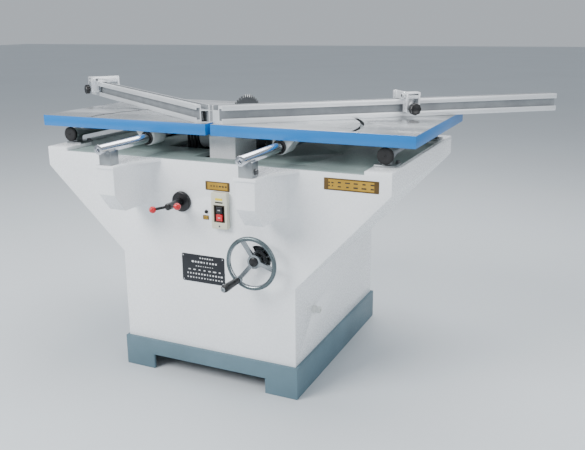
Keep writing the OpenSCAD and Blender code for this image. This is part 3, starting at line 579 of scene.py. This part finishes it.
def flat_mark(name, material, centre, size):
    """One plain block on the cabinet's front, such as a plate's face or a stripe."""
    mesh = grown(rows_tree(), name, {"Columns": 1, "Rows": 1, "Width": 0.0, "Height": 0.0, "Mark": size,
                                     "Seed": 4, "Material": material}, Matrix.Translation(centre))
    return place(mesh, name, "frame")


# ---- the pieces ----

def at_weld(middle):
    """Whether an edge lies where two sheets of the cabinet meet flush."""
    low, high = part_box("cabinet")
    into_panel = min(middle.y - low.y, high.y - middle.y)
    from_end = min(middle.x - low.x, high.x - middle.x)
    into_wall = BODY_HALF - abs(middle.x)
    behind_panel = abs(into_panel - WALL) < NEAR
    under_rim = from_end < WING_RIM and into_panel < WALL and abs(middle.z - BED_TOP) < NEAR
    at_flare = -NEAR < into_wall < WALL + NEAR and min(abs(middle.z - flare) for flare in FLARES) < NEAR
    return behind_panel or under_rim or at_flare


def from_wheel_axis(point):
    """How far a point is from the handwheel's axis."""
    return math.hypot(point.x - WHEEL_AXIS[0], point.z - WHEEL_AXIS[1])


def in_wheel_slot(point):
    """Whether a point is on the walls of the bush's hole or the curved slot round it."""
    return 0.024 < from_wheel_axis(point) < 0.0445 and point.y < FRONT + WALL + 0.001


class SAW_OT_cabinet(bpy.types.Operator):
    """Finish the plinth, cabinet, bed and rod ears"""
    bl_idname = "saw.cabinet"
    bl_label = "Cabinet"

    def execute(self, context):
        sizes = context.scene.saw_sizes
        refined("plinth", sizes.sheet_edge)
        cabinet = refined("cabinet", sizes.sheet_edge, sharp=at_weld)
        repaint(cabinet, finishes()["slot_shadow"], lambda c, n: abs(n.y) < 0.5 and in_wheel_slot(c))
        refined("rod_ears", sizes.sheet_edge)
        refined("bed_plate", sizes.cast_edge * 0.5)
        refined("rod_saddles", sizes.cast_edge)
        refined("rear_cover", sizes.fine_edge)
        refined("cable_gland", sizes.fine_edge * 2)
        refined("frame_bolts", sizes.fine_edge * 2)
        # the bush and a thin ring round it on the front wall are painted black, painted shade of the hole
        # and slot round the hub
        refined("shaft_bush", sizes.fine_edge * 2, material=finishes()["slot_shadow"])
        painted_shade_ring = [(0.0218, 0.0001), (0.0252, 0.0001), (0.0252, 0.0006), (0.0218, 0.0006)]
        place(turned_ring("painted_shade_ring", painted_shade_ring, 48, from_front(WHEEL_AXIS, FRONT)), "shaft_bush_washer",
              "frame", [finishes()["slot_shadow"]])
        return {"FINISHED"}


class SAW_OT_rails(bpy.types.Operator):
    """Finish the rods, rails, brackets and ribbed end caps"""
    bl_idname = "saw.rails"
    bl_label = "Rails"

    def execute(self, context):
        sizes, look = context.scene.saw_sizes, finishes()
        refined("inner_rods", sizes.fine_edge * 3)
        refined("outer_rails", 0)
        refined("rail_brackets", sizes.cast_edge)
        low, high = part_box("rail_end_caps")
        centre_z = (low.z + high.z) / 2
        radius = (high.z - low.z) / 2
        thick = 0.012
        # a rounded edge, a dished face and a raised button in the middle
        rings = [(radius - 0.0014, 0), (radius - 0.0014, thick - 0.0025), (radius - 0.003, thick - 0.0008),
                 (radius - 0.005, thick), (0.012, thick - 0.0008), (0.005, thick - 0.0008),
                 (0.0042, thick), (0.0018, thick), (0.0012, thick - 0.0012)]
        for side, sx in (("left", -1), ("right", 1)):
            for end, sy in (("front", -1), ("back", 1)):
                x = sx * (high.x - radius)
                y = (low.y if sy < 0 else high.y) - sy * thick
                turn = along((x, y, centre_z), (0, sy, 0))
                cap = place(turning("cap", rings, 64, turn),
                            "rail_cap_%s_%s" % (side, end), "frame", [look["belt_rubber"]])
                if side == "left" and end == "front":
                    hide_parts("rail_end_caps")
                block_ring("rail_cap_ribs_%s_%s" % (side, end), "frame", look["belt_rubber"],
                           sizes.cap_ribs, radius - 0.0015, (0.0026, 0.0017, thick - 0.003),
                           turn @ Matrix.Translation((0, 0, thick / 2 - 0.0005)))
        return {"FINISHED"}


class SAW_OT_plates(bpy.types.Operator):
    """Finish the nameplate, gold plates and rivets, with generic marks"""
    bl_idname = "saw.plates"
    bl_label = "Plates"

    def execute(self, context):
        look = finishes()
        refined("nameplate", 0.0003)
        refined("label_plates", 0.0003, material=look["gold_border"])
        refined("plate_rivets", 0.0005)
        proud, thin = 0.00012, 0.0003
        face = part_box("nameplate")[0].y - proud
        # height of the row, number of marks, length of the row, size of a mark
        rows_of_plate = (
            (0.4245, 6, 0.045, (0.0058, thin, 0.0046)), (0.4105, 9, 0.086, (0.0072, thin, 0.0062)),
            (0.3965, 8, 0.060, (0.0046, thin, 0.0028)), (0.3835, 7, 0.112, (0.0130, thin, 0.0042)),
            (0.3700, 13, 0.126, (0.0072, thin, 0.0052)), (0.3565, 13, 0.126, (0.0066, thin, 0.0044)))
        for row, (z, columns, width, mark) in enumerate(rows_of_plate):
            mark_rows("nameplate_row_%d" % row, "frame", look["mark_white"],
                      (-0.002 if row else 0.006, face, z), columns, 1, width, 0.0, mark, 11 + row)
        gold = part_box("label_plates")[0].y - proud
        plate_t = 0.00035
        for name, centre, size in (("wing", (0.492, gold, 0.70675), (0.1622, plate_t, 0.0330)),
                                   ("switch", (0.056, gold, 0.66675), (0.0836, plate_t, 0.0262)),
                                   ("lamp", (0.0105, gold, 0.5630), (0.0182, plate_t, 0.0116))):
            flat_mark(name + "_plate_face", look["plate_gold"], centre, size)
        gold -= 0.0002
        for name, centre, columns, rows, width, height, mark in (
                ("wing_plate_marks", (0.506, gold, 0.7067), 5, 2, 0.098, 0.012, (0.0150, thin, 0.0046)),
                ("wing_plate_sign", (0.431, gold, 0.7067), 2, 2, 0.010, 0.009, (0.0070, thin, 0.0046)),
                ("switch_plate_marks", (0.060, gold, 0.6668), 6, 1, 0.052, 0.0, (0.0066, thin, 0.0060)),
                ("lamp_plate_marks", (0.0105, gold, 0.5630), 3, 1, 0.011, 0.0, (0.0030, thin, 0.0044))):
            mark_rows(name, "frame", look["mark_dark"], centre, columns, rows, width, height,
                      mark, 31)
        return {"FINISHED"}


class SAW_OT_switch(bpy.types.Operator):
    """Finish the switch, its label, screw, lamp and buttons"""
    bl_idname = "saw.switch"
    bl_label = "Switch"

    def execute(self, context):
        look, sizes = finishes(), context.scene.saw_sizes
        refined("switch_housing", 0.0022, 3)
        refined("switch_bezel", 0.0006)
        refined("start_button", 0.0012, 3)
        refined("stop_button", 0.0012, 3)
        refined("pilot_lamp", sizes.fine_edge)
        low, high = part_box("switch_housing")
        x = (low.x + high.x) / 2
        for name, z, size, key, slot in (
                ("switch_label", 0.6300, (0.030, 0.0004, 0.0085), "mark_yellow", "plate_gold"),
                ("switch_band", 0.6200, (0.032, 0.0004, 0.0055), "mark_dark", "plate_black")):
            flat_mark(name, look[key], (x, low.y - 0.00008, z), size)
        head = [(0.0030, 0), (0.0030, 0.0006), (0.0024, 0.0012), (0.0008, 0.0014)]
        place(turning("screw", head, 24, from_front((x, low.z + 0.009), low.y + 0.0003)),
              "switch_screw", "frame", [look["dark_steel"]])
        for body, z in (("start_button", 0.5955), ("stop_button", 0.5715)):
            mark_rows(body + "_mark", body, look["mark_white"],
                      (x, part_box(body)[0].y - 0.0001, z), 2, 1, 0.0045, 0.0, (0.0042, 0.0003, 0.0036), 7)
        return {"FINISHED"}


class SAW_OT_lever(bpy.types.Operator):
    """Finish the lock lever, its red balls and its disc"""
    bl_idname = "saw.lever"
    bl_label = "Lock lever"

    def execute(self, context):
        look = finishes()
        refined("lever_disc", 0.0010)
        lever = refined("lock_lever", 0)
        lean, tilt, reach, ball = math.radians(29), math.radians(12), 0.053, 0.0114
        hub = Vector((LEVER_AXIS[0], FRONT - 0.072, LEVER_AXIS[1]))
        balls = []
        for side in (-1, 1):
            turn = (Matrix.Rotation(-tilt, 3, "Y") @ Matrix.Rotation(side * math.pi / 2, 3, "Y")
                    @ Matrix.Rotation(lean, 3, "X"))
            balls.append(hub + turn @ Vector((0, 0, reach)))
        repaint(lever, look["red_plastic"], lambda c, n: any((c - middle).length < ball for middle in balls))
        cap = [(0.0098, 0), (0.0098, 0.0006), (0.0080, 0.0018), (0.0030, 0.0024)]
        hub_front = FRONT - 0.082
        place(turning("cap", cap, 40, from_front(LEVER_AXIS, hub_front + 0.0002)),
              "lock_lever_cap", "lock_lever", [look["black_plastic"]])
        return {"FINISHED"}


class SAW_OT_handwheel(bpy.types.Operator):
    """Finish the handwheel, its hub cap and its crank handle"""
    bl_idname = "saw.handwheel"
    bl_label = "Handwheel"

    def execute(self, context):
        look = finishes()
        wheel = refined("handwheel", 0)
        repaint(wheel, look["wheel_rim"], lambda c, n: from_wheel_axis(c) > 0.0745)
        refined("crank_handle", 0)
        dress("handwheel_shaft")
        dress("lift_screw")
        hub = FRONT - 0.033
        rings = [(0.0150, 0), (0.0150, 0.0015), (0.0140, 0.0036), (0.0110, 0.0052), (0.0060, 0.0060),
                 (0.0020, 0.0062)]
        place(turning("hub", rings, 48, from_front(WHEEL_AXIS, hub - 0.0004)),
              "handwheel_hub_cap", "handwheel", [look["black_plastic"]])
        low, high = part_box("crank_handle")
        crank_axis = ((low.x + high.x) / 2, (low.z + high.z) / 2)
        disc = [(0.0072, 0), (0.0072, 0.0006), (0.0060, 0.0012), (0.0020, 0.0013)]
        place(turning("disc", disc, 32, from_front(crank_axis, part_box("handwheel")[0].y + 0.0013)),
              "crank_end_disc", "handwheel", [look["rivet_metal"]])
        return {"FINISHED"}


class SAW_OT_unit(bpy.types.Operator):
    """Finish the saw unit inside the cabinet"""
    bl_idname = "saw.unit"
    bl_label = "Saw unit"

    def execute(self, context):
        sizes = context.scene.saw_sizes
        refined("blade_guard", 0.0045, 3)
        for node in ("carriage", "cross_beam", "arbor_housing"):
            refined(node, sizes.cast_edge)
        for node in ("guide_columns", "arbor_bearings", "motor", "v_belts", "arbor_shaft",
                     "arbor_pulley", "motor_pulley"):
            refined(node, 0)
        return {"FINISHED"}


class SAW_OT_blade(bpy.types.Operator):
    """Finish the blade, its carbide tips and its flanges"""
    bl_idname = "saw.blade"
    bl_label = "Blade"

    def execute(self, context):
        sizes, look = context.scene.saw_sizes, finishes()
        refined("saw_blade", 0)
        refined("blade_flanges", sizes.fine_edge * 2)
        low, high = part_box("saw_blade")
        radius = (high.z - low.z) / 2
        turn = Matrix.Translation((low + high) / 2) @ Matrix.Rotation(math.pi / 2, 4, "Y")
        block_ring("blade_tips", "arbor", look["carbide"], sizes.blade_tips, radius - 0.0032,
                   (0.0048, 0.0022, 0.0036), turn, math.radians(-0.8))
        return {"FINISHED"}


class SAW_OT_tables(bpy.types.Operator):
    """Finish the tables, blue at the edges and ground on top, and what carries them"""
    bl_idname = "saw.tables"
    bl_label = "Tables"

    def execute(self, context):
        look, sizes = finishes(), context.scene.saw_sizes
        plate, skin = 0.0118, 0.0008
        for side in SIDES:
            table = refined(side + "_table", 0.0009)
            low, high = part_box(side + "_table")

            def rim(c):
                return min(c.x - low.x, high.x - c.x, c.y - low.y, high.y - c.y) < 0.0012

            repaint(table, look["casting_paint"], lambda c, n: not rim(c) and c.z < high.z - plate)
            repaint(table, look["slot_shadow"],
                    lambda c, n: not rim(c) and high.z - plate <= c.z < high.z - skin)
            repaint(table, look["edge_paint"], lambda c, n: rim(c) and n.z < 0.6)
            refined(side + "_undercarriage", sizes.cast_edge)
            refined(side + "_roller", sizes.fine_edge)
            refined(side + "_pivot_pin", sizes.fine_edge)
            # a rubber seal on each end of the bearing blocks, round the inner rod
            rod_x = -0.240 if side == "left" else 0.240
            rings = [(0.0158, 0), (0.0221, 0), (0.0225, 0.0012), (0.0225, 0.0042), (0.0205, 0.0052),
                     (0.0180, 0.0052), (0.0158, 0.0030)]
            for end, y, outward in (("front", -0.3049, -1), ("back", 0.2800, 1)):
                turn = along((rod_x, y, 0.7913), (0, outward, 0))
                place(turned_ring("seal", rings, 56, turn), "%s_seal_%s" % (side, end), side + "_table",
                      [look["belt_rubber"]])
        return {"FINISHED"}


class SAW_OT_fences(bpy.types.Operator):
    """Finish the two extruded fences"""
    bl_idname = "saw.fences"
    bl_label = "Fences"

    def execute(self, context):
        sizes = context.scene.saw_sizes
        for side in SIDES:
            fence = refined(side + "_fence", sizes.fine_edge * 1.5, 2, finishes()["fence_" + side])
            back = fence_matrix(side).inverted()
            run = fence_matrix(side).to_3x3().col[0]

            def inside(c):
                """Within the slot along the front, or the hollow behind it, but for the web across it."""
                local = back @ c
                in_slot = -0.0245 < local.y < -0.0125 and 0.0105 < local.z < 0.0485
                in_hollow = abs(local.y) < 0.0101 and 0.0042 < local.z < 0.0565
                return in_slot or in_hollow and abs(local.z - 0.040) > 0.0018

            # the faces inside the slot and the hollow get a darker grey, painted shade of the recess
            repaint(fence, finishes()["fence_slot"], lambda c, n: inside(c) and abs(n.dot(run)) < 0.5)
            refined(side + "_clamp_bracket", sizes.fine_edge * 2, 2, finishes()["fence_" + side])
        return {"FINISHED"}


class SAW_OT_stops(bpy.types.Operator):
    """Finish the flip stops and the lobed knobs"""
    bl_idname = "saw.stops"
    bl_label = "Stops"

    def execute(self, context):
        sizes, look = context.scene.saw_sizes, finishes()
        grip_rings = [(0.0098, 0), (0.0098, 0.0037), (0.0188, 0.0039), (0.0199, 0.0058), (0.0199, 0.0168),
                      (0.0190, 0.0196), (0.0172, 0.0212), (0.0120, 0.0216), (0.0100, 0.0206),
                      (0.0040, 0.0204)]
        clamp_rings = [(0.0088, 0), (0.0088, 0.0066), (0.0106, 0.0072), (0.0114, 0.0090), (0.0114, 0.0225),
                       (0.0104, 0.0250), (0.0070, 0.0256), (0.0052, 0.0257)]
        screw_rings = [(0.0050, -0.0006), (0.0050, 0.0006), (0.0040, 0.0012), (0.0012, 0.0014)]
        clamp_along = math.sqrt(CLAMP_REACH ** 2 - CLAMP_BEHIND ** 2)
        quarter = math.pi / 2
        for side in SIDES:
            metal, black = look["fence_" + side], [look["black_plastic"]]
            refined(side + "_stop_bracket", sizes.fine_edge * 3, 2, metal)
            refined(side + "_stop_arm", sizes.fine_edge * 3, 2, metal)
            fence, at = fence_matrix(side), STOP_AT[side]
            # lobed knob on the stop, its top towards the user
            turn = fence @ Matrix.Translation((at, -0.0583, 0.0295)) @ Matrix.Rotation(quarter, 4, "X")
            knob = place(turning("knob", grip_rings, 96, turn, lobed(0.0125)),
                         side + "_stop_knob_grip", side + "_stop_knob", black)
            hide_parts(side + "_stop_knob")
            # upright lobed knob on the clamp
            turn = fence @ Matrix.Translation((clamp_along, CLAMP_BEHIND, 0.0083))
            knob = place(turning("knob", clamp_rings, 80, turn, lobed(0.0095)),
                         side + "_clamp_knob_grip", side + "_clamp_knob", black)
            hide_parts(side + "_clamp_knob")
            # dark screw on the cheek that faces along the fence
            cheek = Matrix.Translation((at - 0.0325, -0.036, 0.071))
            turn = fence @ cheek @ Matrix.Rotation(-quarter, 4, "Y")
            place(turning("screw", screw_rings, 32, turn), side + "_stop_screw", side + "_stop",
                  [look["dark_steel"]])
        return {"FINISHED"}


# ---- floor, lights and camera ----

def soft_light(name, at, aim, size, power):
    """A square lamp at a place, turned to what it lights."""
    data = bpy.data.lights.new(name, "AREA")
    data.shape, data.size, data.energy = "SQUARE", size, power
    light = bpy.data.objects.new(name, data)
    light.location = at
    light.rotation_mode = "QUATERNION"
    light.rotation_quaternion = (Vector(aim) - Vector(at)).to_track_quat("-Z", "Y")
    bpy.context.scene.collection.objects.link(light)


class SAW_OT_stage(bpy.types.Operator):
    """Set the floor, the lights and the camera"""
    bl_idname = "saw.stage"
    bl_label = "Stage"

    def execute(self, context):
        reach = 30.0
        floor_mesh = bpy.data.meshes.new("floor")
        corners = [(-reach, -reach, 0), (reach, -reach, 0), (reach, reach, 0), (-reach, reach, 0)]
        floor_mesh.from_pydata(corners, [], [(0, 1, 2, 3)])
        floor_mesh.materials.append(finish("pale_floor", (0.60, 0.64, 0.67), (0.6, 0.75),
                                           cloud=(0.6, 0.98, 1.02), grain=(60, 0.05, 0.0005)))
        floor = bpy.data.objects.new("floor", floor_mesh)
        context.scene.collection.objects.link(floor)
        world = context.scene.world or bpy.data.worlds.new("studio")
        context.scene.world = world
        world.use_nodes = True
        sky = next(n for n in world.node_tree.nodes if n.type == "BACKGROUND")
        sky.inputs["Color"].default_value = (0.82, 0.88, 0.95, 1)
        sky.inputs["Strength"].default_value = 0.6
        soft_light("key_light", (-2.2, -3.6, 3.6), (0, 0, 0.5), 2.6, 330)
        soft_light("fill_light", (3.6, -1.6, 2.2), (0, 0, 0.5), 2.4, 60)
        soft_light("top_light", (0.2, 0.9, 3.4), (0, 0, 0.7), 2.4, 120)
        data = bpy.data.cameras.new("camera")
        data.sensor_width, data.lens = 36.0, 44.81
        data.shift_x, data.shift_y = 0.0175, -0.0157
        camera = bpy.data.objects.new("camera", data)
        around, down, roll = math.radians(25.32), math.radians(15.04), math.radians(-0.6)
        level = math.cos(down)
        ahead = Vector((-math.sin(around) * level, math.cos(around) * level, -math.sin(down)))
        right = Vector((math.cos(around), math.sin(around), 0))
        up = right.cross(ahead)
        across = math.cos(roll) * right + math.sin(roll) * up
        above = -math.sin(roll) * right + math.cos(roll) * up
        turn = Matrix((across, above, -ahead)).transposed().to_4x4()
        camera.matrix_world = Matrix.Translation((1.17372, -2.26381, 1.15986)) @ turn
        context.scene.collection.objects.link(camera)
        context.scene.camera = camera
        return {"FINISHED"}


PIECES = (SAW_OT_cabinet, SAW_OT_rails, SAW_OT_plates, SAW_OT_switch, SAW_OT_lever, SAW_OT_handwheel,
          SAW_OT_unit, SAW_OT_blade, SAW_OT_tables, SAW_OT_fences, SAW_OT_stops, SAW_OT_stage)


class SAW_PT_panel(bpy.types.Panel):
    """Lists the pieces and what may be changed on them"""
    bl_idname = "SAW_PT_panel"
    bl_label = "Mitre saw"
    bl_space_type = "VIEW_3D"
    bl_region_type = "UI"
    bl_category = "Mitre saw"

    def draw(self, context):
        column = self.layout.column()
        for piece in PIECES:
            column.operator(piece.bl_idname)
        for group in (context.scene.saw_colours, context.scene.saw_sizes):
            for key in type(group).__annotations__:
                column.prop(group, key)


CLASSES = (SawColours, SawSizes, *PIECES, SAW_PT_panel)


def register():
    for each in CLASSES:
        bpy.utils.register_class(each)
    bpy.types.Scene.saw_colours = bpy.props.PointerProperty(type=SawColours)
    bpy.types.Scene.saw_sizes = bpy.props.PointerProperty(type=SawSizes)


def unregister():
    del bpy.types.Scene.saw_sizes
    del bpy.types.Scene.saw_colours
    for each in reversed(CLASSES):
        bpy.utils.unregister_class(each)


def main():
    register()
    for piece in PIECES:
        group, name = piece.bl_idname.split(".")
        getattr(getattr(bpy.ops, group), name)()
    bpy.context.view_layer.update()


if __name__ == "__main__":
    main()
